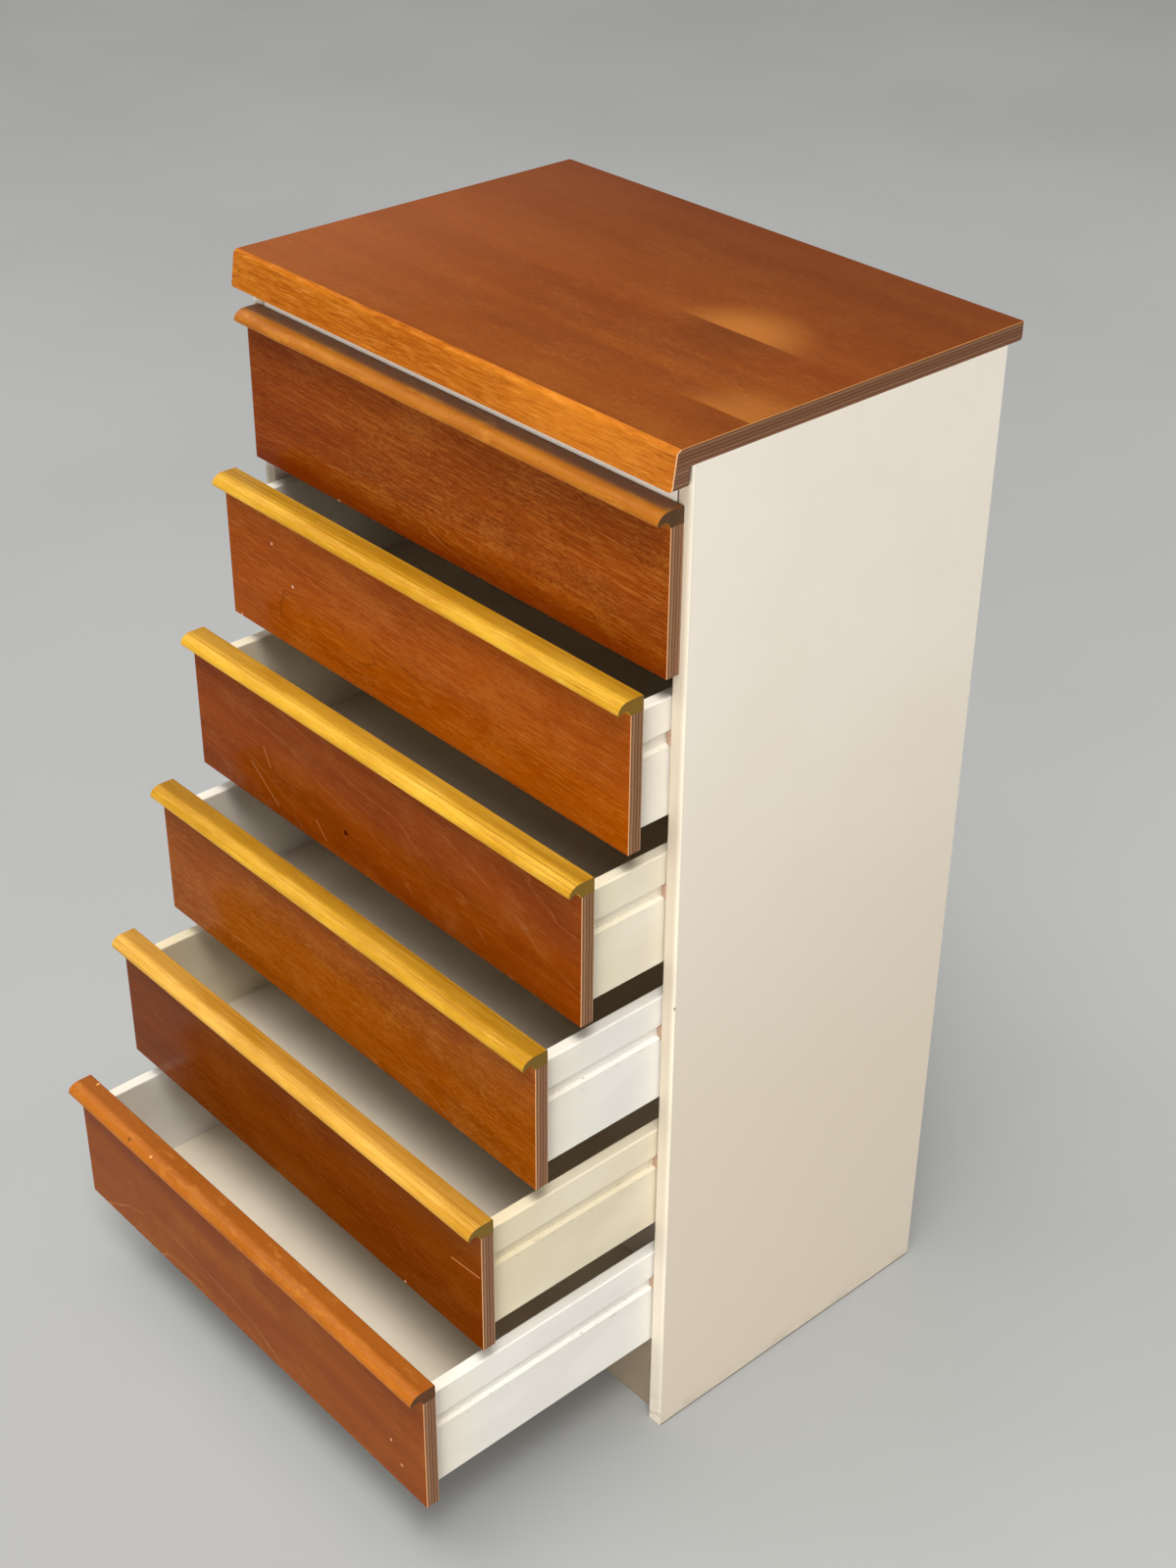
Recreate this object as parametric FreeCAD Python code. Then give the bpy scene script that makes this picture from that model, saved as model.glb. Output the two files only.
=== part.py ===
import FreeCAD, Part
import math
import os

from FreeCAD import Vector

# A tall chest of drawers, in millimetres. X runs to the right as seen from the front, Y to the back and
# Z up. The origin is on the floor, at the middle of the plinth's underside. The drawers are numbered from
# the top and stand pulled out by growing amounts, from the top one, which is shut, to the bottom one.

# Carcass
carcass_width = 553.0
panel_depth = 351.0
panel_thickness = 15.0
edge_strip_thickness = 0.8
edge_strip_round = 0.5
plinth_recess = 10.0
plinth_thickness = 15.0
plinth_clearance = 12.0
rail_thickness = 15.0
rail_clearance = 5.0
back_thickness = 4.0
back_inset = 8.0
back_floor_gap = 6.0
back_groove_depth = 5.0

# Top board and its turned-down lip
top_thickness = 16.0
top_end_reveal = 0.5
top_back_overhang = 18.0
top_back_round = 3.0
lip_drop = 16.0
lip_back_gap = 4.0
lip_overhang = 22.0
lip_lean = 5.0
lip_end_round = 2.5
facing_thickness = 1.5
top_edge_round = 5.0

# Drawer fronts and their handle rails
base_height = 89.2
front_end_inset = 8.0
front_thickness = 13.5
front_height = 127.7
front_edge_round = 0.7
front_gap = 3.6
top_gap = 18.6
closed_gap = 0.6
handle_height = 14.0
handle_overhang = 13.0
handle_flat = 1.5
handle_tip_height = 5.0
handle_lip_drop = 1.2
handle_lip_depth = 1.6
cove_rise = 6.0
handle_back_round = 1.2

# Drawer boxes: hollow extruded sides, a back between them and a bottom let into grooves
side_thickness = 12.0
side_gap = 2.2
side_wall = 1.6
side_bottom_rise = 12.5
side_top_drop = 6.7
side_round = 1.5
rear_clearance = 9.5
bottom_thickness = 4.0
bottom_rise = 3.5
bottom_groove_depth = 5.0
box_back_thickness = 12.0
fit_clearance = 0.2

# Plugs and dowels that hold a drawer box together
plug_length = 28.0
plug_pin_radius = 3.0
plug_pin_cover = 5.5
dowel_radius = 3.0
dowel_reach = 9.0
dowel_rise = 22.0

# Runners on the side panels, and how the drawers' grooves hang on them
runner_drop = 28.0
runner_height = 16.4
runner_tip_drop = 5.5
runner_tip_height = 9.0
runner_depth = 5.4
runner_front_setback = 0.5
runner_back_setback = 6.0
runner_hang_gap = 0.4
runner_play = 0.8
runner_grip = 55.0

# Screws that fix the runners
screw_head_radius = 3.4
screw_shank_radius = 1.7
screw_point_length = 3.0
screw_cover = 5.4
screw_end_distance = 45.0

# Blocks that fix the top and the plinth to the panels
block_leg = 24.0
block_toe = 6.0
block_length = 32.0
block_setback = 40.0

# How far each drawer stands out, as a share of its travel, from the top drawer down
pull_shares = (0.0, 0.131, 0.306, 0.482, 0.697, 0.936)

# Places worked out from the sizes above
drawer_count = len(pull_shares)
drawer_numbers = range(1, drawer_count + 1)
half_width = carcass_width / 2
inner_x = half_width - panel_thickness
front_y = -(plinth_recess + plinth_thickness / 2)
rear_y = front_y + panel_depth
plinth_back_y = front_y + plinth_recess + plinth_thickness
back_front_y = rear_y - back_inset - back_thickness
pitch = front_height + handle_height + front_gap
lip_bottom_z = base_height + drawer_count * pitch - front_gap + top_gap
panel_height = lip_bottom_z + lip_drop
top_z = panel_height + top_thickness
top_half_width = half_width - top_end_reveal
top_rear_y = rear_y + top_back_overhang
front_half_width = half_width - front_end_inset
side_outer_x = inner_x - side_gap
side_inner_x = side_outer_x - side_thickness
side_middle_x = (side_inner_x + side_outer_x) / 2
side_height = front_height - side_top_drop - side_bottom_rise
box_depth = back_front_y - rear_clearance - (front_y - closed_gap)
travel = box_depth - runner_grip
rail_bottom_z = base_height + (drawer_count - 1) * pitch + front_height - side_top_drop + rail_clearance
plinth_top_z = base_height + side_bottom_rise - plinth_clearance


def front_bottom_z(number):
    """Height of the lower edge of a drawer's front."""
    return base_height + (drawer_count - number) * pitch


def side_bottom_z(number):
    """Height of the lower edge of a drawer's sides."""
    return front_bottom_z(number) + side_bottom_rise


def front_back_y(number):
    """Where the back of a drawer's front stands, pulled out by its share of the travel."""
    return front_y - closed_gap - pull_shares[number - 1] * travel


def box_rear_y(number):
    """Where the rear end of a drawer's box stands."""
    return front_back_y(number) + box_depth


# Helpers

def near(a, b):
    return math.isclose(a, b, abs_tol=1e-6)


def block(x0, x1, y0, y1, z0, z1):
    return Part.makeBox(x1 - x0, y1 - y0, z1 - z0, Vector(x0, y0, z0))


def prism(corners, along):
    """Extrudes a closed outline of corner points."""
    return Part.Face(Part.makePolygon(corners + corners[:1])).extrude(along)


def mirrored(shape):
    """The same piece on the other side of the chest."""
    return shape.mirror(Vector(0, 0, 0), Vector(1, 0, 0))


def both_sides(pieces):
    """Right-hand pieces and their left-hand twins, as one group."""
    return Part.makeCompound(pieces + [mirrored(piece) for piece in pieces])


def rounded(shape, radius, wanted):
    """Rounds the edges whose middle points are wanted."""
    return shape.makeFillet(radius, [edge for edge in shape.Edges if wanted(edge.CenterOfMass)])


def quarter_ellipse(centre, first, second):
    """A quarter of an ellipse between two points that lie square to each other from its centre."""
    if (first - centre).Length < (second - centre).Length:
        first, second = second, first
    return Part.ArcOfEllipse(Part.Ellipse(first, second, centre), 0, math.pi / 2).toShape()


def cylinder_x(radius, x0, x1, y, z):
    return Part.makeCylinder(radius, x1 - x0, Vector(x0, y, z), Vector(1, 0, 0))


def save(node, shape):
    shape.exportStep(f"parts/{node}.step")


# Runner section: a trapezoid whose flanks close in from the panel to the tip

def runner_flanks(number):
    """Heights of a runner's top and bottom at the panel, then at its tip."""
    root_top = side_bottom_z(number) + side_height - runner_drop
    tip_top = root_top - runner_tip_drop
    return root_top, root_top - runner_height, tip_top, tip_top - runner_tip_height


def flank_z(root_z, tip_z, distance):
    """Height of a flank at a distance from the panel."""
    return root_z + (tip_z - root_z) * distance / runner_depth


def groove_flanks(number, distance):
    """Heights of the top and bottom of a drawer's groove at a distance from the panel."""
    root_top, root_bottom, tip_top, tip_bottom = runner_flanks(number)
    top = flank_z(root_top, tip_top, distance) + runner_hang_gap
    return top, flank_z(root_bottom, tip_bottom, distance) - runner_play


def screw_places(number):
    """The (y, z) places of the screws in one runner."""
    _, _, tip_top, tip_bottom = runner_flanks(number)
    z = (tip_top + tip_bottom) / 2
    first_y = front_y + runner_front_setback + screw_end_distance
    last_y = back_front_y - runner_back_setback - screw_end_distance
    return (first_y, z), (last_y, z)


def screw(y, z, clearance=0.0):
    """A countersunk screw along X with its head at the runner's tip, or the hole that clears it."""
    head_x = inner_x - runner_depth
    head = screw_head_radius + clearance
    shank = screw_shank_radius + clearance
    point_x = half_width - screw_cover + clearance
    outline = [
        Vector(head_x, y, z),
        Vector(head_x, y + head, z),
        Vector(head_x + head - shank, y + shank, z),
        Vector(point_x - screw_point_length, y + shank, z),
        Vector(point_x, y, z),
    ]
    face = Part.Face(Part.makePolygon(outline + outline[:1]))
    return face.revolve(outline[0], Vector(1, 0, 0), 360)


def screw_holes(number):
    return [screw(y, z, fit_clearance) for y, z in screw_places(number)]


# Carcass pieces

def side_panel():
    """Right-hand panel: a faced board with a groove for the back and pilot holes for the runner screws."""
    board = block(inner_x, half_width, front_y + edge_strip_thickness, rear_y, 0, panel_height)
    cuts = [block(inner_x, inner_x + back_groove_depth, back_front_y,
                  back_front_y + back_thickness + fit_clearance, 0, panel_height)]
    for number in drawer_numbers:
        cuts += screw_holes(number)
    return board.cut(Part.makeCompound(cuts))


def edge_strip():
    """Edging glued to the front edge of the right-hand panel."""
    strip = block(inner_x, half_width, front_y, front_y + edge_strip_thickness, 0, panel_height)
    radius = min(edge_strip_round, edge_strip_thickness * 0.9)
    return rounded(strip, radius, lambda c: near(c.y, front_y) and near(c.z, panel_height / 2))


def cross_rail(y0):
    """Rail under the top, between the panels."""
    return block(-inner_x, inner_x, y0, y0 + rail_thickness, rail_bottom_z, panel_height)


def plinth():
    return block(-inner_x, inner_x, plinth_back_y - plinth_thickness, plinth_back_y, 0, plinth_top_z)


def back_panel():
    half = inner_x + back_groove_depth - fit_clearance
    return block(-half, half, back_front_y, back_front_y + back_thickness, back_floor_gap, panel_height)


def block_outline():
    """Two legs from an inside corner, with a sloping face between their toes."""
    return (0, 0), (block_leg, 0), (block_leg, block_toe), (block_toe, block_leg), (0, block_leg)


def top_block(y0):
    """Block in the corner between the right-hand panel and the top."""
    corners = [Vector(inner_x - a, y0, panel_height - b) for a, b in block_outline()]
    return prism(corners, Vector(0, block_length, 0))


def plinth_block():
    """Upright block in the corner between the right-hand panel and the plinth."""
    z0 = (plinth_top_z - block_length) / 2
    corners = [Vector(inner_x - a, plinth_back_y + b, z0) for a, b in block_outline()]
    return prism(corners, Vector(0, 0, block_length))


def corner_blocks():
    first_y = front_y + rail_thickness + block_setback
    last_y = back_front_y - rail_thickness - block_setback - block_length
    return both_sides([top_block(first_y), top_block(last_y), plinth_block()])


# Top: board and lip share one front face, which leans out towards its lower edge and is veneered

lip_back_y = front_y - lip_back_gap
lip_front_y = front_y - lip_overhang
lean_angle = math.atan2(lip_lean, top_z - lip_bottom_z)


def face_y(z):
    """Y of the leaning front face at a height."""
    return lip_front_y + lip_lean * (z - lip_bottom_z) / (top_z - lip_bottom_z)


def lip_section(inset):
    """Section of the front of the top and lip with a rounded upper corner, set in by a veneer thickness."""
    radius = top_edge_round - inset
    high = top_z - inset
    tangent = radius * math.tan((math.pi / 2 - lean_angle) / 2)
    corner_y = face_y(high) + inset
    on_top = Vector(0, corner_y + tangent, high)
    on_face = Vector(0, corner_y - tangent * math.sin(lean_angle), high - tangent * math.cos(lean_angle))
    centre = on_top - Vector(0, 0, radius)
    outward = on_top + on_face - centre * 2
    middle = centre + outward * (radius / outward.Length)
    low_front = Vector(0, lip_front_y + inset, lip_bottom_z)
    low_back = Vector(0, lip_back_y, lip_bottom_z)
    high_back = Vector(0, lip_back_y, high)
    edges = [
        Part.Arc(on_top, middle, on_face).toShape(),
        Part.makeLine(on_face, low_front),
        Part.makeLine(low_front, low_back),
        Part.makeLine(low_back, high_back),
        Part.makeLine(high_back, on_top),
    ]
    return Part.Face(Part.Wire(edges)), on_top.y


def over_width(section):
    """Extrudes a section over the whole width of the top."""
    solid = section.extrude(Vector(2 * top_half_width, 0, 0))
    solid.translate(Vector(-top_half_width, 0, 0))
    return solid


def top_slice(y0, y1, z0, z1):
    """A box over the whole width of the top."""
    return block(-top_half_width, top_half_width, y0, y1, z0, z1)


def top_pieces():
    """The top board, the lip strip glued under its front edge, and the veneer facing over both."""
    outer_section, round_y = lip_section(0)
    core_section, _ = lip_section(facing_thickness)
    outer = over_width(outer_section)
    envelope = top_slice(lip_front_y, lip_back_y, lip_bottom_z, top_z)
    envelope = rounded(envelope, lip_end_round,
                       lambda c: near(c.z, lip_bottom_z) and near(abs(c.x), top_half_width))
    behind_round = top_slice(round_y, lip_back_y, lip_bottom_z, top_z)
    facing = outer.cut(over_width(core_section)).cut(behind_round).common(envelope)
    core = outer.cut(facing)
    lip = core.common(top_slice(lip_front_y, lip_back_y, lip_bottom_z, panel_height)).common(envelope)
    board_front = core.common(top_slice(lip_front_y, lip_back_y, panel_height, top_z))
    board_rear = top_slice(lip_back_y, top_rear_y, panel_height, top_z)
    board_rear = rounded(board_rear, top_back_round,
                         lambda c: near(c.y, top_rear_y) and near(c.z, panel_height))
    return board_front.fuse(board_rear).removeSplitter(), lip, facing


# Drawer pieces

def side_chambers(number):
    """Heights of the chambers that take plugs, below and above the runner groove."""
    groove_top, groove_bottom = groove_flanks(number, side_gap)
    low = side_bottom_z(number)
    floor_groove_top = low + bottom_rise + bottom_thickness + fit_clearance
    lower = (floor_groove_top + side_wall, groove_bottom - side_wall)
    upper = (groove_top + side_wall, low + side_height - side_wall)
    return lower, upper


def dowel_axes(number):
    """The (y, z) axes of the dowels between a drawer's back and its right-hand side."""
    lower, upper = side_chambers(number)
    y = box_rear_y(number) - box_back_thickness / 2
    return (y, lower[0] + dowel_rise), (y, (upper[0] + upper[1]) / 2)


def plug_pin(number, chamber, clearance=0.0):
    """Pin from a side chamber forward into the front, or the blind hole that takes it."""
    length = front_thickness - plug_pin_cover + clearance
    base = Vector(side_middle_x, front_back_y(number), sum(chamber) / 2)
    return Part.makeCylinder(plug_pin_radius + clearance, length, base, Vector(0, -1, 0))


def front_board(number):
    """Ply front with a groove for the bottom and blind holes for the plug pins."""
    back_y = front_back_y(number)
    board_y = back_y - front_thickness
    low = front_bottom_z(number)
    high = low + front_height
    board = block(-front_half_width, front_half_width, board_y, back_y, low, high)
    board = rounded(board, front_edge_round, lambda c: near(c.y, board_y) and not near(c.z, high))
    bottom_z = side_bottom_z(number) + bottom_rise
    half = side_inner_x + bottom_groove_depth
    groove = block(-half, half, back_y - bottom_groove_depth, back_y, bottom_z,
                   bottom_z + bottom_thickness + fit_clearance)
    holes = both_sides([plug_pin(number, chamber, fit_clearance) for chamber in side_chambers(number)])
    return board.cut(groove).cut(holes)


def handle(number):
    """Full-width handle rail: flat top, round nose over the front's face and a finger cove under it."""
    back_y = front_back_y(number)
    board_y = back_y - front_thickness
    low = front_bottom_z(number) + front_height
    high = low + handle_height

    def at(forward, up):
        return Vector(-front_half_width, board_y - forward, low + up)

    lip_forward = handle_overhang - handle_lip_depth
    lip_up = handle_tip_height - handle_lip_drop
    tip = at(handle_overhang, handle_tip_height)
    flat_end = at(handle_flat, handle_height)
    lip = at(lip_forward, lip_up)
    root = at(0, 0)
    back_low = at(-front_thickness, 0)
    back_high = at(-front_thickness, handle_height)
    edges = [
        Part.makeLine(back_low, back_high),
        Part.makeLine(back_high, flat_end),
        quarter_ellipse(at(handle_flat, handle_tip_height), flat_end, tip),
        quarter_ellipse(at(lip_forward, handle_tip_height), tip, lip),
        Part.Arc(lip, at(lip_forward / 2, cove_rise), root).toShape(),
        Part.makeLine(root, back_low),
    ]
    bar = Part.Face(Part.Wire(edges)).extrude(Vector(2 * front_half_width, 0, 0))
    return rounded(bar, handle_back_round, lambda c: near(c.y, back_y) and near(c.z, high))


def side(number):
    """Right-hand drawer side: hollow profile, runner groove outside and bottom groove inside."""
    y0 = front_back_y(number)
    y1 = box_rear_y(number)
    low = side_bottom_z(number)
    high = low + side_height
    profile = block(side_inner_x, side_outer_x, y0, y1, low, high)
    profile = rounded(profile, side_round, lambda c: near(c.z, high) and near(c.y, (y0 + y1) / 2))
    floor_distance = runner_depth + runner_play
    mouth_top, mouth_bottom = groove_flanks(number, 0)
    floor_top, floor_bottom = groove_flanks(number, floor_distance)
    groove_floor_x = inner_x - floor_distance
    groove_corners = [
        Vector(inner_x, y0, mouth_top),
        Vector(groove_floor_x, y0, floor_top),
        Vector(groove_floor_x, y0, floor_bottom),
        Vector(inner_x, y0, mouth_bottom),
    ]
    bottom_z = low + bottom_rise
    cuts = [
        prism(groove_corners, Vector(0, box_depth, 0)),
        block(side_inner_x, side_inner_x + bottom_groove_depth, y0, y1, bottom_z,
              bottom_z + bottom_thickness + fit_clearance),
        block(side_inner_x + side_wall, groove_floor_x - side_wall, y0, y1, floor_bottom, floor_top),
    ]
    for z0, z1 in side_chambers(number):
        cuts.append(block(side_inner_x + side_wall, side_outer_x - side_wall, y0, y1, z0, z1))
    for y, z in dowel_axes(number):
        cuts.append(cylinder_x(dowel_radius + fit_clearance, side_inner_x, side_inner_x + side_wall, y, z))
    return profile.cut(Part.makeCompound(cuts))


def box_back(number):
    """Back of a drawer box, standing on the bottom between the sides, with dowel holes in its ends."""
    y1 = box_rear_y(number)
    floor_z = side_bottom_z(number) + bottom_rise + bottom_thickness
    high = side_bottom_z(number) + side_height
    board = block(-side_inner_x, side_inner_x, y1 - box_back_thickness, y1, floor_z, high)
    board = rounded(board, side_round, lambda c: near(c.z, high) and near(c.x, 0))
    hole_end_x = side_inner_x - dowel_reach - fit_clearance
    holes = [cylinder_x(dowel_radius + fit_clearance, hole_end_x, side_inner_x, y, z)
             for y, z in dowel_axes(number)]
    return board.cut(both_sides(holes))


def box_bottom(number):
    """Drawer bottom, let into the front and the sides and running under the back."""
    z0 = side_bottom_z(number) + bottom_rise
    reach = bottom_groove_depth - fit_clearance
    half = side_inner_x + reach
    return block(-half, half, front_back_y(number) - reach, box_rear_y(number), z0, z0 + bottom_thickness)


def corner_plugs(number):
    """Plugs in the front ends of the sides, each with a pin into the front, and dowels at the back."""
    y0 = front_back_y(number)
    x0 = side_inner_x + side_wall + fit_clearance
    x1 = side_outer_x - side_wall - fit_clearance
    pieces = []
    for chamber in side_chambers(number):
        body = block(x0, x1, y0, y0 + plug_length, chamber[0] + fit_clearance, chamber[1] - fit_clearance)
        pieces.append(body.fuse(plug_pin(number, chamber)).removeSplitter())
    for y, z in dowel_axes(number):
        pieces.append(cylinder_x(dowel_radius, side_inner_x - dowel_reach, side_inner_x + side_wall, y, z))
    return both_sides(pieces)


def runners(number):
    """The pair of runner strips that carry one drawer."""
    root_top, root_bottom, tip_top, tip_bottom = runner_flanks(number)
    tip_x = inner_x - runner_depth
    y0 = front_y + runner_front_setback
    corners = [Vector(inner_x, y0, root_bottom), Vector(inner_x, y0, root_top),
               Vector(tip_x, y0, tip_top), Vector(tip_x, y0, tip_bottom)]
    strip = prism(corners, Vector(0, back_front_y - runner_back_setback - y0, 0))
    return both_sides([strip.cut(Part.makeCompound(screw_holes(number)))])


def runner_screws():
    return both_sides([screw(y, z) for number in drawer_numbers for y, z in screw_places(number)])


# Build and save every piece

os.makedirs("parts", exist_ok=True)

right_panel = side_panel()
top_board, lip_strip, lip_facing = top_pieces()
save("right_side_panel", right_panel)
save("left_side_panel", mirrored(right_panel))
save("front_edge_strips", both_sides([edge_strip()]))
save("front_rail", cross_rail(front_y))
save("rear_rail", cross_rail(back_front_y - rail_thickness))
save("plinth", plinth())
save("back_panel", back_panel())
save("corner_blocks", corner_blocks())
save("top_panel", top_board)
save("top_lip", lip_strip)
save("lip_facing", lip_facing)
save("runner_screws", runner_screws())

for drawer in drawer_numbers:
    right_side = side(drawer)
    save(f"runners_{drawer}", runners(drawer))
    save(f"drawer_{drawer}_front", front_board(drawer))
    save(f"drawer_{drawer}_handle", handle(drawer))
    save(f"drawer_{drawer}_right_side", right_side)
    save(f"drawer_{drawer}_left_side", mirrored(right_side))
    save(f"drawer_{drawer}_back", box_back(drawer))
    save(f"drawer_{drawer}_bottom", box_bottom(drawer))
    save(f"drawer_{drawer}_corner_plugs", corner_plugs(drawer))
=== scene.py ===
import math
from dataclasses import dataclass

import bpy
from mathutils import Matrix, Vector


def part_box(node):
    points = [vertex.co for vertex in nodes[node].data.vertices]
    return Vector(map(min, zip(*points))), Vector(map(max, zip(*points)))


# A tall chest of drawers, dressed in its finishes. Lengths are metres, colours are sRGB hex.

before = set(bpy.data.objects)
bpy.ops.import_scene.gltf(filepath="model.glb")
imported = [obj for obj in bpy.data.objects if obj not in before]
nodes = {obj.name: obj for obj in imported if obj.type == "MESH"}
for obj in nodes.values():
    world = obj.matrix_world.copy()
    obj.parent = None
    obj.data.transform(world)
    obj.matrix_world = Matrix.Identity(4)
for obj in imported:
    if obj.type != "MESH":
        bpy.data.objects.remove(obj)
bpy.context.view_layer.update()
DRAWERS = range(1, 7)


# Node graph helpers

def linear(colour):
    """An sRGB hex colour as linear RGBA."""
    channels = [int(colour[i:i + 2], 16) / 255 for i in (0, 2, 4)]
    return [c / 12.92 if c <= 0.04045 else ((c + 0.055) / 1.055) ** 2.4 for c in channels] + [1.0]


class Surface:
    """A material whose nodes are made by short calls. An argument is a socket or a plain value."""

    MIX_FACTOR, MIX_A, MIX_B, MIX_RESULT = 0, 6, 7, 2

    def __init__(self, name, specular=0.5):
        self.material = bpy.data.materials.new(name)
        self.material.use_nodes = True
        self.tree = self.material.node_tree
        self.shader = self.tree.nodes["Principled BSDF"]
        self.shader.inputs["Specular IOR Level"].default_value = specular
        coordinates = self.tree.nodes.new("ShaderNodeTexCoord")
        self.position = coordinates.outputs["Object"]
        self.share = coordinates.outputs["Generated"]
        self.normal = self.tree.nodes.new("ShaderNodeNewGeometry").outputs["True Normal"]

    def plug(self, socket, value):
        if isinstance(value, bpy.types.NodeSocket):
            self.tree.links.new(value, socket)
        elif isinstance(value, str):
            socket.default_value = linear(value)
        else:
            socket.default_value = value

    def node(self, kind, inputs, **settings):
        made = self.tree.nodes.new(kind)
        for name, value in settings.items():
            setattr(made, name, value)
        for name, value in inputs.items():
            self.plug(made.inputs[name], value)
        return made

    def math(self, operation, a, b=0.0):
        return self.node("ShaderNodeMath", {0: a, 1: b}, operation=operation).outputs[0]

    def times(self, a, b):
        return self.math("MULTIPLY", a, b)

    def plus(self, a, b):
        return self.math("ADD", a, b)

    def vector(self, operation, a, b):
        """A vector operation, with a vector or a number as its result."""
        made = self.node("ShaderNodeVectorMath", {0: a, 1: b}, operation=operation)
        return made.outputs["Value" if operation in ("DISTANCE", "DOT_PRODUCT") else "Vector"]

    def mix(self, factor, a, b):
        inputs = {self.MIX_FACTOR: factor, self.MIX_A: a, self.MIX_B: b}
        return self.node("ShaderNodeMix", inputs, data_type="RGBA").outputs[self.MIX_RESULT]

    def spread(self, value, low, high, to_low, to_high):
        """Maps low..high to to_low..to_high smoothly and clamps it."""
        inputs = {"Value": value, "From Min": low, "From Max": high, "To Min": to_low, "To Max": to_high}
        return self.node("ShaderNodeMapRange", inputs, interpolation_type="SMOOTHSTEP").outputs[0]

    def rise(self, value, low, high, top=1.0):
        """0 up to low, then smoothly up to top at high."""
        return self.spread(value, low, high, 0.0, top)

    def fall(self, value, low, high, top=1.0):
        """top up to low, then smoothly down to 0 at high."""
        return self.spread(value, low, high, top, 0.0)

    def axis(self, source, name):
        """One component of a vector socket."""
        return self.node("ShaderNodeSeparateXYZ", {0: source}).outputs[name]

    def at(self, name):
        """One coordinate of the point."""
        return self.axis(self.position, name)

    def from_middle(self):
        """How far the point is from the chest's middle plane, to either side."""
        return self.math("ABSOLUTE", self.at("X"))

    def facing(self, name, low=0.3, high=0.6):
        """1 where the surface faces along an axis, either way, and 0 where it faces across it."""
        return self.rise(self.math("ABSOLUTE", self.axis(self.normal, name)), low, high)

    def place(self, size, origin=(0, 0, 0), tilt=0.0):
        """Coordinates from an origin, turned about Y by a tilt and counted in steps of a size."""
        inputs = {"Vector": self.position, "Location": origin, "Rotation": (0, tilt, 0), "Scale": size}
        return self.node("ShaderNodeMapping", inputs, vector_type="TEXTURE").outputs[0]

    def steps_from(self, origin, size):
        """Distance from an origin, counted in steps of a size along X, Y and Z."""
        return self.vector("DISTANCE", self.place(size, origin), (0, 0, 0))

    def noise(self, size, seed=0, tilt=0.0, detail=2.0, roughness=0.5):
        """Noise whose features are about this size along X, Y and Z."""
        shift = (1.7 * seed, 2.3 * seed, 3.1 * seed)
        inputs = {"Vector": self.place(size, shift, tilt), "Scale": 1.0, "Detail": detail,
                  "Roughness": roughness}
        return self.node("ShaderNodeTexNoise", inputs).outputs[0]

    def speckle(self, size, seed=0, detail=2.0, roughness=0.5):
        """Noise whose features are about as long every way."""
        return self.noise((size, size, size), seed, detail=detail, roughness=roughness)

    def two_tone(self, noise, first, second, low=0.35, high=0.65):
        """Colour that wanders between two tones with a noise."""
        return self.mix(self.rise(noise, low, high), first, second)

    def chance(self, number):
        """A random value from 0 to 1 for a whole number."""
        return self.node("ShaderNodeTexWhiteNoise", {"W": number}, noise_dimensions="1D").outputs["Value"]

    def spot(self, centre, radius):
        """1 in a small ragged spot and 0 away from it."""
        ragged = self.speckle(radius)
        distance = self.vector("DISTANCE", self.position, centre)
        edge = self.times(ragged, 2 * radius)
        return self.fall(self.math("DIVIDE", distance, edge), 0.6, 1.0)

    def scratch(self, start, end, width):
        """1 along a thin straight mark and 0 away from it."""
        along = Vector(end) - Vector(start)
        offset = self.vector("SUBTRACT", self.position, start)
        run = self.vector("DOT_PRODUCT", offset, along.normalized())
        run = self.math("MINIMUM", self.math("MAXIMUM", run, 0.0), along.length)
        step = self.node("ShaderNodeCombineXYZ", {0: run, 1: run, 2: run}).outputs[0]
        foot = self.vector("MULTIPLY", step, along.normalized())
        return self.fall(self.vector("DISTANCE", offset, foot), 0.3 * width, 0.7 * width)

    def colour(self, value):
        self.plug(self.shader.inputs["Base Color"], value)

    def gloss(self, noise, low, high):
        """Roughness that runs from low to high with a noise."""
        self.plug(self.shader.inputs["Roughness"], self.spread(noise, 0.3, 0.7, low, high))

    def relief(self, height, depth):
        bump = self.node("ShaderNodeBump", {"Height": height, "Distance": depth})
        self.plug(self.shader.inputs["Normal"], bump.outputs[0])


def dress(node, surface):
    slots = nodes[node].data.materials
    slots.clear()
    slots.append(surface.material)


# Wood

@dataclass
class Wood:
    """Colours of a wood, how its grain lies and how strongly each part of the grain shows."""
    deep: str
    mid: str
    pale: str
    dark: str
    seed: int
    tilt: float = 0.0
    streaks: float = 0.45
    fibres: float = 0.4
    pale_flecks: float = 0.3
    dark_flecks: float = 0.3


BAND_SIZE = (0.22, 0.03, 0.03)
STREAK_SIZE = (0.045, 0.0020, 0.0020)
FIBRE_SIZE = (0.022, 0.0010, 0.0010)
FLECK_SIZE = (0.006, 0.0009, 0.0009)
CLOUD_SIZE = (0.06, 0.04, 0.04)
CLOUD_STRENGTH = 0.25
DARK_STREAK_SHARE = 0.7
STREAK_RELIEF = 0.5


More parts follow.
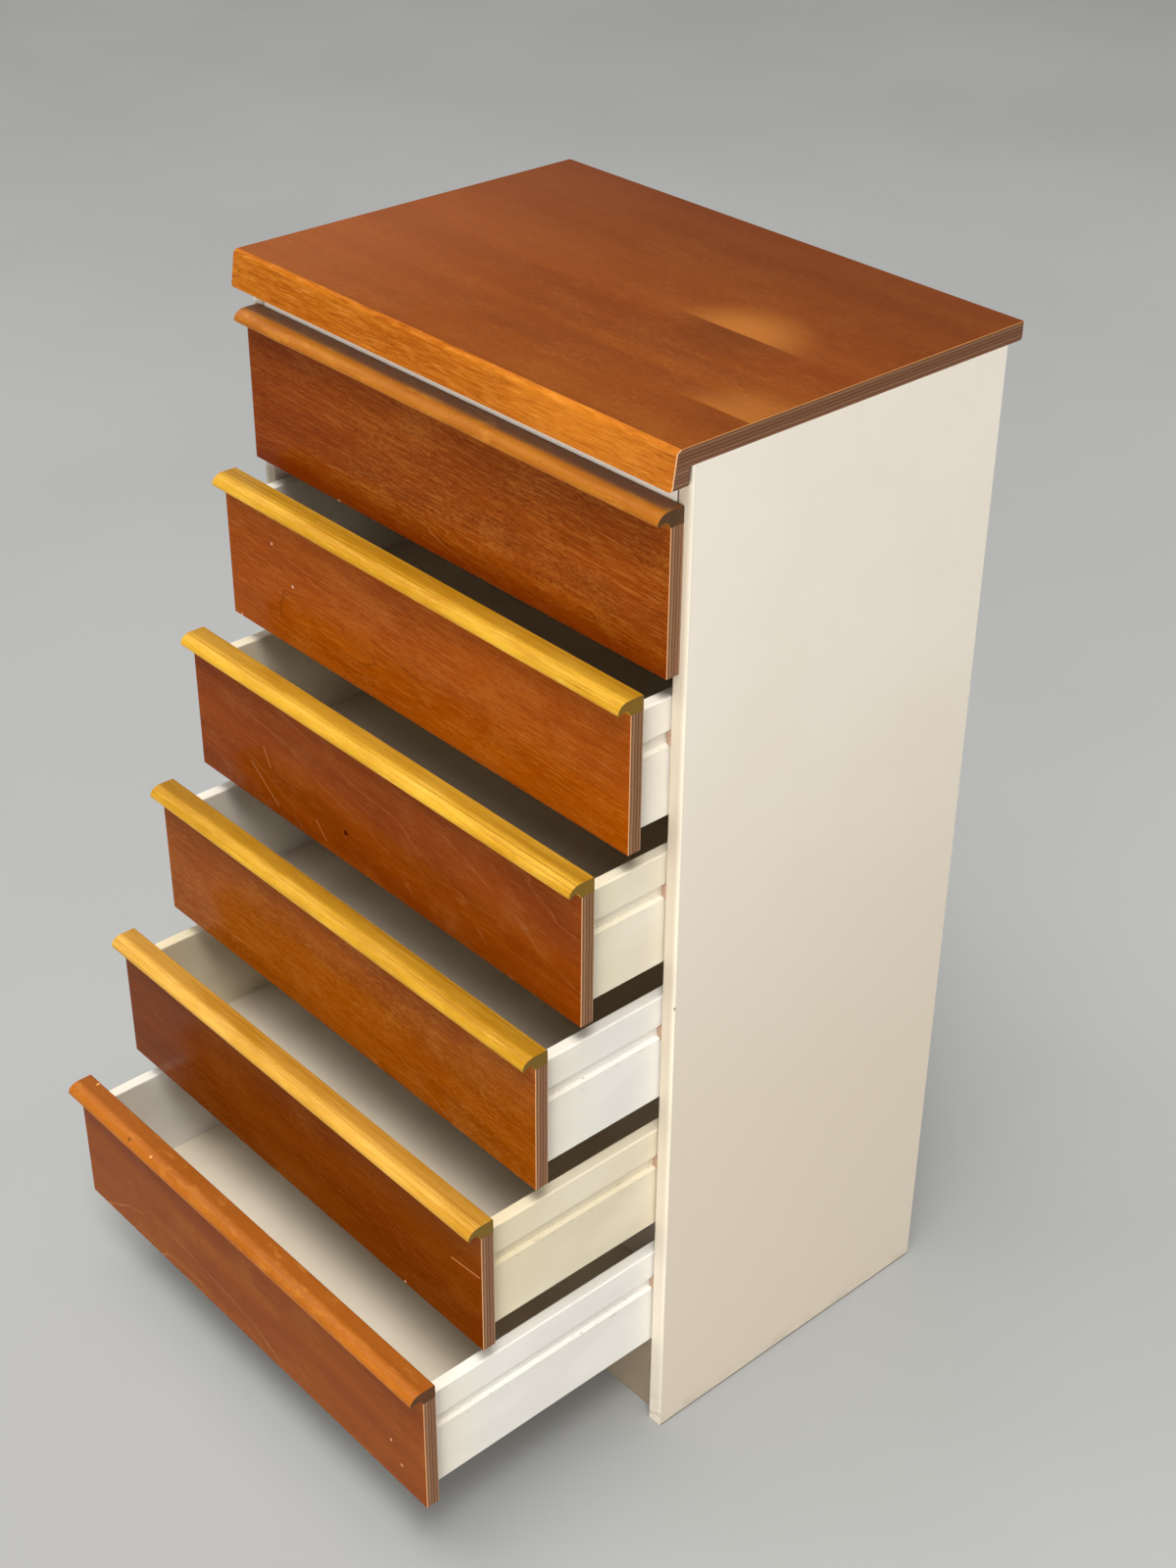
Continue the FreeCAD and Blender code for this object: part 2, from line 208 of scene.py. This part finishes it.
def grain(surface, wood):
    """Colour and height of wood whose grain runs along X: broad bands, streaks, thin fibres, short flecks."""
    bands = surface.noise(BAND_SIZE, wood.seed, wood.tilt, detail=5, roughness=0.6)
    streaks = surface.noise(STREAK_SIZE, wood.seed, wood.tilt, detail=5, roughness=0.7)
    fibres = surface.noise(FIBRE_SIZE, wood.seed + 9, wood.tilt)
    flecks = surface.noise(FLECK_SIZE, wood.seed, wood.tilt)
    cloud = surface.noise(CLOUD_SIZE, wood.seed + 5, detail=3)
    fleck_room = surface.rise(cloud, 0.30, 0.60)
    colour = surface.two_tone(bands, wood.deep, wood.mid)
    colour = surface.mix(surface.rise(cloud, 0.50, 0.75, CLOUD_STRENGTH), colour, wood.pale)
    colour = surface.mix(surface.rise(streaks, 0.50, 0.75, wood.streaks), colour, wood.pale)
    dark_streaks = surface.fall(streaks, 0.28, 0.50, DARK_STREAK_SHARE * wood.streaks)
    colour = surface.mix(dark_streaks, colour, wood.dark)
    colour = surface.mix(surface.rise(fibres, 0.55, 0.70, wood.fibres), colour, wood.pale)
    pale_flecks = surface.rise(flecks, 0.54, 0.72, wood.pale_flecks)
    colour = surface.mix(surface.times(fleck_room, pale_flecks), colour, wood.pale)
    dark_flecks = surface.fall(flecks, 0.28, 0.42, wood.dark_flecks)
    colour = surface.mix(surface.times(fleck_room, dark_flecks), colour, wood.dark)
    height = surface.plus(surface.times(streaks, STREAK_RELIEF), flecks)
    return colour, height


GLUE_TONE = "543418"
GLUE_STRENGTH = 0.85
PLY_WAVE = 0.5


def ply(surface, depth, plies):
    """Colour of a cut ply edge, from the depth through the board, 0 to 1."""
    waviness = surface.speckle(0.04, 7, detail=3)
    layer = surface.plus(surface.times(depth, plies), surface.times(waviness, PLY_WAVE))
    glue = surface.fall(surface.math("PINGPONG", layer, 0.5), 0.03, 0.24)
    tone = surface.chance(surface.math("FLOOR", layer))
    fibre = surface.speckle(0.0009, 2, detail=1)
    colour = surface.mix(tone, "9C765A", "866048")
    colour = surface.mix(surface.rise(fibre, 0.4, 0.7, 0.35), colour, "6A4628")
    return surface.mix(surface.times(glue, GLUE_STRENGTH), colour, GLUE_TONE)


def finish_wood(surface, colour, height, low, high, depth=0.00012):
    surface.colour(colour)
    surface.gloss(height, low, high)
    surface.relief(height, depth)


# Drawer fronts

FRONT_WOODS = {
    1: Wood("793300", "8A3D00", "A66322", "541F00", seed=1, tilt=0.03, streaks=0.85, fibres=0.5,
            pale_flecks=0.6, dark_flecks=1.0),
    2: Wood("8A3C00", "994700", "B26926", "6E2C00", seed=2, tilt=0.03, fibres=0.5, dark_flecks=0.7),
    3: Wood("732F00", "823800", "9B5A27", "572000", seed=3, tilt=0.08, streaks=0.3, fibres=0.3),
    4: Wood("7F3A00", "8F4500", "AA6A2C", "5E2A00", seed=4, tilt=0.03, streaks=0.35, fibres=0.5,
            pale_flecks=0.6),
    5: Wood("662900", "703200", "8A4E1A", "501C00", seed=5, streaks=0.3, pale_flecks=0.5),
    6: Wood("7B3600", "864000", "9F601C", "622B00", seed=6, tilt=0.04, streaks=0.25, fibres=0.25),
}
FRONT_PLIES = 4.4
FRONT_VENEER_EDGE = "E4AE7E"


@dataclass
class Figure:
    """Arches of a flat-sawn figure: spacing along X and Z, foot of their axis, tone, strength and reach."""
    spacing: tuple
    foot: tuple
    tone: str
    strength: float
    reach: float


# Places on a front are X and the height over its lower edge.
FIGURES = {
    1: Figure((0.045, 0.010), (-0.15, -0.02), "B07840", strength=0.4, reach=6.5),
    2: Figure((0.050, 0.012), (-0.10, 0.04), "6A2A00", strength=0.5, reach=4.5),
    3: Figure((0.055, 0.011), (-0.60, -0.01), "A06838", strength=0.25, reach=99.0),
    4: Figure((0.045, 0.011), (-0.12, -0.03), "B87838", strength=0.35, reach=9.0),
    6: Figure((0.030, 0.010), (-0.09, -0.01), "A8703C", strength=0.6, reach=6.0),
}
CHIP_TONE = "D8A888"
CHIPS = {
    1: [(-0.144, 0.0)],
    2: [(-0.200, 0.0951), (-0.171, 0.0636), (-0.257, 0.0010)],
    5: [(0.162, 0.002)],
    6: [(0.2205, 0.0456), (0.2345, 0.0255)],
}
CHIP_RADII = {1: 0.0022, 2: 0.0016, 5: 0.002, 6: 0.0016}
KNOTS = {3: [(-0.0424, 0.0325)]}
KNOT_TONE = "4A0F02"
KNOT_RADIUS = 0.0035
SCRATCHES = {
    3: [((-0.164, 0.0659), (-0.155, 0.0479)), ((-0.185, 0.0399), (-0.146, 0.0109)),
        ((-0.087, 0.0239), (-0.073, 0.0089))],
    5: [((0.229, 0.0795), (0.266, 0.0825))],
}
SCRATCH_TONES = {3: "AC6E42", 5: "C07848"}
SCRATCH_WIDTHS = {3: 0.0011, 5: 0.0013}
# Painted shade on front 1: darker towards its lower edge and its left end.
PAINTED_SHADE_FRONTS = (1,)
PAINTED_SHADE_TONE = "6A2400"
SHADE_HEIGHT = 0.03
SHADE_RUN = 0.22


def figured(surface, colour, figure, foot):
    """Colour with the thin arched lines of a figure, which come and go and end at its reach in steps."""
    step_x, step_z = figure.spacing
    waver = surface.noise((0.08, 0.03, 0.03), 3, detail=3)
    radius = surface.plus(surface.steps_from(foot, (step_x, 1, step_z)), surface.times(waver, 2.0))
    lines = surface.fall(surface.math("PINGPONG", radius, 0.5), 0.01, 0.10)
    weight = surface.rise(surface.chance(surface.math("ROUND", radius)), 0.3, 0.9, figure.strength)
    broken = surface.rise(surface.noise((0.06, 0.02, 0.02), 4, detail=3), 0.36, 0.54)
    within = surface.fall(radius, figure.reach, figure.reach + 1.0)
    share = surface.times(surface.times(lines, weight), broken)
    return surface.mix(surface.times(share, within), colour, figure.tone)


def painted_shade(surface, colour, low):
    """Colour with painted shade that darkens towards the lower edge and the left end of a front, where less
    light falls.
    """
    bottom = surface.fall(surface.at("Z"), low.z, low.z + SHADE_HEIGHT, 0.75)
    colour = surface.mix(bottom, colour, PAINTED_SHADE_TONE)
    left = surface.fall(surface.at("X"), low.x, low.x + SHADE_RUN, 0.45)
    return surface.mix(left, colour, PAINTED_SHADE_TONE)


def front_marks(surface, colour, n):
    """Colour with the figure, painted shade, knots, scratches and chips of one drawer front."""
    low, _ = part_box(f"drawer_{n}_front")

    def on_face(x, height):
        return (x, low.y, low.z + height)

    if n in FIGURES:
        colour = figured(surface, colour, FIGURES[n], on_face(*FIGURES[n].foot))
    if n in PAINTED_SHADE_FRONTS:
        colour = painted_shade(surface, colour, low)
    for knot in KNOTS.get(n, ()):
        colour = surface.mix(surface.spot(on_face(*knot), KNOT_RADIUS), colour, KNOT_TONE)
    for start, end in SCRATCHES.get(n, ()):
        mark = surface.scratch(on_face(*start), on_face(*end), SCRATCH_WIDTHS[n])
        colour = surface.mix(mark, colour, SCRATCH_TONES[n])
    for chip in CHIPS.get(n, ()):
        colour = surface.mix(surface.spot(on_face(*chip), CHIP_RADII[n]), colour, CHIP_TONE)
    return colour


def front_board(n):
    """Ply drawer front: veneer on its faces, plies on its edges."""
    surface = Surface(f"drawer_front_{n}", specular=0.05)
    colour, height = grain(surface, FRONT_WOODS[n])
    colour = front_marks(surface, colour, n)
    depth = surface.axis(surface.share, "Y")
    edge = ply(surface, depth, FRONT_PLIES)
    edge = surface.mix(surface.fall(depth, 0.07, 0.11), edge, FRONT_VENEER_EDGE)
    colour = surface.mix(surface.facing("Y"), edge, colour)
    finish_wood(surface, colour, height, 0.10, 0.20, depth=0.00004)
    return surface


# Top

TOP_WOOD = Wood("753504", "7F3C06", "945520", "582604", seed=8, streaks=0.25, fibres=0.6, pale_flecks=0.8,
                dark_flecks=0.8)
TOP_PLIES = 5.2
TOP_EDGE_STAIN = "5A3628"
TOP_VENEER_EDGE = "C98A50"
TOP_LEFT_PAINTED_LIGHT = "9A5832"
WORN_TONE = "C4741C"


@dataclass
class Leaf:
    """A patch where the edge of a veneer leaf shows, paler behind its seam and darker ahead of it."""
    x: float
    y: float
    pale: float
    dark: float


LEAVES = (Leaf(0.145, 0.158, pale=0.8, dark=0.5), Leaf(0.265, 0.039, pale=0.6, dark=0.3))
LEAF_SIZE = (0.080, 0.075, 1)
LEAF_TONE = "AA682A"
SEAM = 0.0006


def stained_ply(surface, depth):
    """Colour of the cut edges of the top and its lip, darker than bare ply."""
    return surface.mix(0.4, ply(surface, depth, TOP_PLIES), TOP_EDGE_STAIN)


def top_board():
    """Ply top: leaves of veneer laid side by side, with the worn front edge showing the facing's colour."""
    surface = Surface("top_board", specular=0.03)
    colour, height = grain(surface, TOP_WOOD)
    low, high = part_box("top_panel")
    y = surface.at("Y")
    bands = surface.noise((0.8, 0.05, 1.0), 18, detail=3)
    colour = surface.mix(surface.rise(bands, 0.46, 0.66, 0.15), colour, TOP_WOOD.pale)
    colour = surface.mix(surface.fall(bands, 0.34, 0.52, 0.30), colour, TOP_WOOD.dark)
    # Painted light: paler towards the left end of the top, where more light and sheen fall.
    colour = surface.mix(surface.fall(surface.at("X"), -0.28, 0.0, 0.4), colour, TOP_LEFT_PAINTED_LIGHT)
    # Painted light and shade: paler towards the front edge and darker towards the back of the top.
    colour = surface.mix(surface.fall(y, 0.02, 0.16, 0.10), colour, TOP_WOOD.pale)
    colour = surface.mix(surface.rise(y, 0.05, high.y, 0.6), colour, TOP_WOOD.dark)
    for leaf in LEAVES:
        patch = surface.fall(surface.steps_from((leaf.x, leaf.y, high.z), LEAF_SIZE), 0.1, 1.0)
        behind = surface.rise(y, leaf.y - SEAM, leaf.y + SEAM, leaf.pale)
        ahead = surface.fall(y, leaf.y - SEAM, leaf.y + SEAM, leaf.dark)
        colour = surface.mix(surface.times(behind, patch), colour, LEAF_TONE)
        colour = surface.mix(surface.times(ahead, patch), colour, TOP_WOOD.dark)
    ragged = surface.noise((0.012, 0.002, 0.002), 9, detail=3)
    worn = surface.plus(y, surface.times(ragged, 0.006))
    colour = surface.mix(surface.fall(worn, low.y + 0.002, low.y + 0.006, 0.9), colour, WORN_TONE)
    depth = surface.axis(surface.share, "Z")
    edge = surface.mix(surface.rise(depth, 0.93, 0.96), stained_ply(surface, depth), TOP_VENEER_EDGE)
    colour = surface.mix(surface.facing("Z"), edge, colour)
    finish_wood(surface, colour, height, 0.28, 0.40, depth=0.00008)
    return surface


def lip_board():
    surface = Surface("lip_board", specular=0.25)
    colour, height = grain(surface, TOP_WOOD)
    edge = stained_ply(surface, surface.axis(surface.share, "Z"))
    colour = surface.mix(surface.facing("Z"), edge, colour)
    finish_wood(surface, colour, height, 0.45, 0.6)
    return surface


FACING_WOOD = Wood("9E4F00", "AE6006", "C88132", "7A3600", seed=10, pale_flecks=0.4, dark_flecks=0.6)
FACING_RIGHT_PAINTED_LIGHT = "CA7C30"
DASH_SIZE = (0.022, 0.01, 0.0016)
DASH_TONE = "DA9038"
GLOW_X = 0.17
GLOW_SIZE = (0.13, 1, 0.05)
GLOW_TONE = "E08C28"
FACING_END_TONE = "F2BC88"


def lip_facing():
    """Veneer on the lip's front, dashed, paler towards the right in painted light, with the pale ends of its
    own thickness.
    """
    surface = Surface("lip_facing", specular=0.08)
    colour, height = grain(surface, FACING_WOOD)
    low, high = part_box("lip_facing")
    # Painted light: paler towards the right end of the facing.
    colour = surface.mix(surface.rise(surface.at("X"), -0.1, high.x, 0.2), colour, FACING_RIGHT_PAINTED_LIGHT)
    dashes = surface.noise(DASH_SIZE, 11, detail=3, roughness=0.6)
    colour = surface.mix(surface.fall(dashes, 0.34, 0.47, 0.55), colour, FACING_WOOD.dark)
    colour = surface.mix(surface.rise(dashes, 0.53, 0.68, 0.35), colour, DASH_TONE)
    glow = surface.steps_from((GLOW_X, low.y, high.z), GLOW_SIZE)
    colour = surface.mix(surface.fall(glow, 0.0, 1.0, 0.28), colour, GLOW_TONE)
    colour = surface.mix(surface.facing("X", 0.5, 0.8), colour, FACING_END_TONE)
    finish_wood(surface, colour, height, 0.38, 0.52)
    return surface


# Handles

OCHRE = dict(deep="B27E10", mid="CE9E2C", pale="E6BE54", dark="7A4E00")
SMOOTH = dict(fibres=0.2, pale_flecks=0.1, dark_flecks=0.2)
HANDLE_WOODS = {
    1: Wood("965310", "A66414", "BE802B", "6A380A", seed=12, streaks=0.25, fibres=0.2),
    2: Wood(**OCHRE, seed=13, **SMOOTH),
    3: Wood(**OCHRE, seed=14, **SMOOTH),
    4: Wood("AA780E", "C69628", "DCB44C", "784E02", seed=15, **SMOOTH),
    5: Wood("B4801E", "CE9C3E", "E1B861", "855408", seed=16, **SMOOTH),
    6: Wood("99530D", "A65D13", "BA782E", "763A07", seed=17, streaks=0.2, fibres=0.2, dark_flecks=0.6),
}
BROWN_HANDLES = (1, 6)
HANDLE_ENDS = {1: "463420", 2: "7A5E18", 3: "7A5E18", 4: "6E5616", 5: "6E5A1A", 6: "4E3014"}

# Knocks on a handle: X, depth behind its nose and radius.
PALE_KNOCKS = {
    1: [(-0.163, -0.0005, 0.0018)],
    6: [(-0.2515, 0.0236, 0.0030), (-0.1295, 0.0053, 0.0018), (0.0435, -0.0001, 0.0026)],
}
DARK_KNOCKS = {1: [(0.1356, 0.0003, 0.0030)], 6: [(-0.1646, 0.0030, 0.0026)]}
KNOCK_TONES = (("D09858", PALE_KNOCKS), ("74400E", DARK_KNOCKS))
KNOCK_DROP = 0.002


def handle_marks(surface, colour, n):
    """Colour with the small knocks that show on the two brown handles."""
    low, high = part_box(f"drawer_{n}_handle")
    for tone, knocks in KNOCK_TONES:
        for x, depth, radius in knocks.get(n, ()):
            centre = (x, low.y + depth, high.z - KNOCK_DROP)
            colour = surface.mix(surface.spot(centre, radius), colour, tone)
    return colour


def handle_rail(n):
    """Solid handle rail: long soft grain lines, darker behind its nose (painted shade, partly the wood's own
    darker tone), with dark end grain.
    """
    surface = Surface(f"handle_{n}", specular=0.2)
    wood = HANDLE_WOODS[n]
    colour, height = grain(surface, wood)
    lines = surface.noise((0.6, 0.0025, 0.0025), wood.seed + 3)
    colour = surface.mix(surface.rise(lines, 0.57, 0.66, wood.streaks), colour, wood.dark)
    # Darker behind the nose: painted shade, partly the wood's own darker tone.
    behind = surface.rise(surface.axis(surface.share, "Y"), 0.30, 0.55, 0.5)
    colour = surface.mix(behind, colour, wood.dark)
    if n in BROWN_HANDLES:
        blotches = surface.noise((0.025, 0.010, 0.010), wood.seed + 6, detail=4, roughness=0.6)
        colour = surface.mix(surface.rise(blotches, 0.54, 0.70, 0.4), colour, wood.pale)
    colour = handle_marks(surface, colour, n)
    rays = surface.noise((0.02, 0.0012, 0.006), wood.seed)
    end = surface.mix(surface.rise(rays, 0.35, 0.65, 0.4), HANDLE_ENDS[n], wood.dark)
    colour = surface.mix(surface.facing("X", 0.5, 0.8), colour, end)
    finish_wood(surface, colour, height, 0.28, 0.42, depth=0.00006)
    return surface


# Faced boards and plastics

DUST_TONE = "B4A48C"


def faced_board(name, tone, shade, low=0.38, high=0.5):
    """Pale faced board: faintly mottled, a little dusty, with fine pimples in its face."""
    surface = Surface(name, specular=0.35)
    mottle = surface.speckle(0.14, 20, detail=4, roughness=0.6)
    dust = surface.speckle(0.004, 21, detail=3)
    colour = surface.two_tone(mottle, tone, shade, high=0.70)
    colour = surface.mix(surface.rise(dust, 0.68, 0.80, 0.15), colour, DUST_TONE)
    pimples = surface.speckle(0.0016, 22, detail=1)
    surface.gloss(mottle, low, high)
    surface.relief(pimples, 0.00003)
    return surface, colour


def grimed(surface, colour, reach, tone, strength):
    """Colour with scuffs and dirt that fade out above the floor."""
    ragged = surface.noise((0.03, 0.03, 0.012), 23, detail=5, roughness=0.65)
    grime = surface.times(surface.fall(surface.at("Z"), 0.0, reach), surface.rise(ragged, 0.42, 0.62))
    return surface.mix(surface.times(grime, strength), colour, tone)


# A small knock on the right panel's front corner, which shows on the panel and on its edging.
CORNER_KNOCK = dict(centre=(0.2765, -0.0175, 0.498), radius=0.0015)
CORNER_KNOCK_TONE = "6A5642"


def white_board():
    """Side panel board: darker towards the floor in painted shade, with dirt along its lower edge and a
    painted contact shadow at the floor.
    """
    surface, colour = faced_board("white_board", "ECE4D8", "E9E0D3")
    height = surface.at("Z")
    # Painted shade: darker towards the floor, where less light falls.
    colour = surface.mix(surface.fall(height, 0.25, 0.95), colour, "DCD0BE")
    colour = grimed(surface, colour, 0.02, "B0A088", 0.3)
    # Painted contact shadow: a thin dark line where the panel meets the floor.
    colour = surface.mix(surface.fall(height, 0.0005, 0.0025, 0.8), colour, "5E5044")
    colour = surface.mix(surface.spot(**CORNER_KNOCK), colour, CORNER_KNOCK_TONE)
    surface.colour(colour)
    return surface


def rail_board():
    """Rail under the top, painted lighter than the panels to stand in for light under the lip, with a dark
    joint at each end.
    """
    # Painted light: a lighter board tone than the panels', for the shaded rail under the lip.
    surface, colour = faced_board("rail_board", "F8F2E6", "F2EBDE")
    _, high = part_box("front_rail")
    joint = surface.rise(surface.from_middle(), high.x - 0.0014, high.x - 0.0008)
    surface.colour(surface.mix(joint, colour, "4A3C30"))
    return surface


def edge_strips():
    """Edging, yellowed a little, with a painted highlight along its rounded outer edge and painted light low
    down, with dirt near the floor.
    """
    surface, colour = faced_board("edge_strips", "D3C7B3", "CDC0AB", low=0.32, high=0.45)
    _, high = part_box("front_edge_strips")
    # Painted highlight along the rounded outer edge of the edging.
    painted_edge_highlight = surface.rise(surface.from_middle(), high.x - 0.006, high.x - 0.001)
    colour = surface.mix(painted_edge_highlight, colour, "ECE3D0")
    # Painted light: paler towards the floor.
    colour = surface.mix(surface.fall(surface.at("Z"), 0.0, 0.5, 0.8), colour, "E5DCCB")
    colour = grimed(surface, colour, 0.05, "9A8468", 0.5)
    colour = surface.mix(surface.spot(**CORNER_KNOCK), colour, CORNER_KNOCK_TONE)
    surface.colour(colour)
    return surface


def back_board():
    """Thin fibreboard, felted brown."""
    surface = Surface("back_board", specular=0.2)
    felt = surface.speckle(0.006, 24, detail=6, roughness=0.7)
    cloud = surface.speckle(0.2, 25, detail=3)
    colour = surface.two_tone(felt, "B59A78", "9A7E5C", low=0.3, high=0.7)
    colour = surface.mix(surface.rise(cloud, 0.4, 0.7, 0.4), colour, "C4AC8C")
    surface.colour(colour)
    surface.gloss(felt, 0.6, 0.8)
    surface.relief(felt, 0.0002)
    return surface


def drawer_side(name, tone, shade, stain):
    """Extruded drawer side: yellowed towards its front end, with dark rubbed marks in its groove."""
    surface = Surface(name, specular=0.4)
    cloud = surface.noise((0.1, 0.12, 0.05), 26, detail=4)
    colour = surface.two_tone(cloud, tone, shade)
    along = surface.axis(surface.share, "Y")
    colour = surface.mix(surface.fall(along, 0.0, 0.25, 0.5), colour, stain)
    height = surface.axis(surface.share, "Z")
    groove = surface.times(surface.rise(height, 0.50, 0.54), surface.fall(height, 0.62, 0.70))
    rubs = surface.noise((1, 0.010, 0.0014), 27, detail=4, roughness=0.65)
    marks = surface.times(groove, surface.rise(rubs, 0.60, 0.72, 0.6))
    surface.colour(surface.mix(marks, colour, "7A6A54"))
    drawn = surface.noise((1, 0.5, 0.0012), 28)
    surface.gloss(cloud, 0.32, 0.45)
    surface.relief(drawn, 0.00003)
    return surface


def moulded(name, tone, shade):
    """Moulded plastic with a slightly uneven skin."""
    surface = Surface(name, specular=0.4)
    skin = surface.speckle(0.003, 29, detail=4)
    surface.colour(surface.two_tone(skin, tone, shade))
    surface.gloss(skin, 0.45, 0.6)
    surface.relief(skin, 0.00005)
    return surface


def zinc():
    surface = Surface("screw_zinc")
    brushed = surface.noise((0.004, 0.0003, 0.004), 30, detail=3)
    surface.shader.inputs["Metallic"].default_value = 1.0
    surface.colour(surface.two_tone(brushed, "C8C6C0", "A8A69E", low=0.3, high=0.7))
    surface.gloss(brushed, 0.25, 0.45)
    surface.relief(brushed, 0.00003)
    return surface


def foil_board(name, tone, shade):
    surface, colour = faced_board(name, tone, shade, low=0.45, high=0.6)
    surface.colour(colour)
    return surface


# Each node gets its finish

board = white_board()
strips = edge_strips()
fixing = moulded("fixing_plastic", "DED8CC", "D2CABC")
runner = moulded("runner_plastic", "B49480", "A4846E")
side_white = drawer_side("drawer_side_white", "EBE8E1", "E3E0D9", "E9DEC7")
side_ivory = drawer_side("drawer_side_ivory", "E8E1D0", "E0D7C2", "E6DBBC")
side_cream = drawer_side("drawer_side_cream", "E4DAC2", "DACFB4", "E4D5AE")
floor_foil = foil_board("drawer_floor", "E1D7C5", "D9CEBA")
back_foil = foil_board("drawer_back", "E4DED2", "DAD2C4")

for node in ("left_side_panel", "right_side_panel", "rear_rail"):
    dress(node, board)
dress("front_rail", rail_board())
# The plinth's board is painted darker than the other boards, as shade under the lowest drawer.
dress("plinth", foil_board("plinth_board_painted_shade", "91836F", "897B68"))
dress("front_edge_strips", strips)
dress("back_panel", back_board())
dress("corner_blocks", fixing)
dress("top_panel", top_board())
dress("top_lip", lip_board())
dress("lip_facing", lip_facing())
dress("runner_screws", zinc())
box_sides = {1: side_white, 2: side_white, 3: side_ivory, 4: side_white, 5: side_cream, 6: side_white}
for n in DRAWERS:
    dress(f"runners_{n}", runner)
    dress(f"drawer_{n}_front", front_board(n))
    dress(f"drawer_{n}_handle", handle_rail(n))
    dress(f"drawer_{n}_left_side", box_sides[n])
    dress(f"drawer_{n}_right_side", box_sides[n])
    dress(f"drawer_{n}_back", back_foil)
    dress(f"drawer_{n}_bottom", floor_foil)
    dress(f"drawer_{n}_corner_plugs", fixing)


# Stage, light and camera

FLOOR_HALF = 12.0
FLOOR_DROP = 0.0005
CHEST_MIDDLE = Vector((0, 0, 0.55))
WARM = (1.0, 0.975, 0.94)
MILD = (1.0, 0.98, 0.95)
NEUTRAL = (1.0, 0.985, 0.97)
WORLD_LIGHT = 0.03
BACKDROP_LIGHT = 0.5


def make_floor():
    mesh = bpy.data.meshes.new("floor")
    corners = [(-FLOOR_HALF, -FLOOR_HALF, 0), (FLOOR_HALF, -FLOOR_HALF, 0), (FLOOR_HALF, FLOOR_HALF, 0),
               (-FLOOR_HALF, FLOOR_HALF, 0)]
    mesh.from_pydata(corners, [], [(0, 1, 2, 3)])
    floor = bpy.data.objects.new("floor", mesh)
    bpy.context.scene.collection.objects.link(floor)
    floor.location.z = -FLOOR_DROP
    surface = Surface("floor", specular=0.3)
    cloud = surface.speckle(0.9, 31, detail=3)
    surface.colour(surface.two_tone(cloud, "A3A5A5", "9EA0A0", low=0.3, high=0.7))
    surface.gloss(cloud, 0.6, 0.75)
    mesh.materials.append(surface.material)


def make_light(name, position, size, watts, colour, beam=180):
    """A square soft light that faces the middle of the chest, with its beam's whole angle in degrees."""
    lamp = bpy.data.lights.new(name, "AREA")
    lamp.size = size
    lamp.energy = watts
    lamp.color = colour
    lamp.spread = math.radians(beam)
    lamp_object = bpy.data.objects.new(name, lamp)
    lamp_object.location = position
    lamp_object.rotation_euler = (CHEST_MIDDLE - Vector(position)).to_track_quat("-Z", "Y").to_euler()
    bpy.context.scene.collection.objects.link(lamp_object)


def make_world():
    """Weak light from all round, behind a backdrop that only the camera and reflections see as pale."""
    world = bpy.data.worlds.new("studio")
    world.use_nodes = True
    graph = world.node_tree.nodes
    links = world.node_tree.links
    strength = graph.new("ShaderNodeMapRange")
    strength.inputs["To Min"].default_value = WORLD_LIGHT
    strength.inputs["To Max"].default_value = BACKDROP_LIGHT
    rays = graph.new("ShaderNodeLightPath").outputs
    seen = graph.new("ShaderNodeMath")
    seen.operation = "MAXIMUM"
    links.new(rays["Is Camera Ray"], seen.inputs[0])
    links.new(rays["Is Glossy Ray"], seen.inputs[1])
    links.new(seen.outputs[0], strength.inputs["Value"])
    background = graph["Background"].inputs
    links.new(strength.outputs[0], background["Strength"])
    background["Color"].default_value = linear("FFFFFF")
    bpy.context.scene.world = world


def make_camera():
    """Camera at the photograph's viewing angle."""
    right = Vector((0.66709701, 0.74492316, 0.0084293))
    up = Vector((-0.40432856, 0.35253642, 0.84394105))
    backward = Vector((0.6256996, -0.56639876, 0.5363697))
    position = Vector((1.365455, -1.103187, 1.695738))
    camera = bpy.data.cameras.new("camera")
    camera.sensor_width = 36.0
    camera.lens = 53.445
    camera_object = bpy.data.objects.new("camera", camera)
    turn = Matrix((right, up, backward)).transposed().to_4x4()
    camera_object.matrix_world = Matrix.Translation(position) @ turn
    bpy.context.scene.collection.objects.link(camera_object)
    bpy.context.scene.camera = camera_object


make_floor()
make_world()
make_light("softbox", (-2.0, -4.4, 17.3), size=14.0, watts=2500, colour=WARM)
make_light("overhead", (7.6, -6.0, 17.6), size=6.0, watts=2250, colour=WARM)
make_light("front", (1.8, -3.2, 1.2), size=1.6, watts=37, colour=MILD, beam=120)
make_light("right", (4.6, -0.6, 2.4), size=3.0, watts=42, colour=MILD)
make_light("left", (-3.0, -0.4, 2.4), size=1.6, watts=14, colour=NEUTRAL)
make_light("back", (0.8, 3.4, 2.4), size=1.6, watts=28, colour=NEUTRAL)
make_camera()
bpy.context.scene.view_settings.view_transform = "Standard"
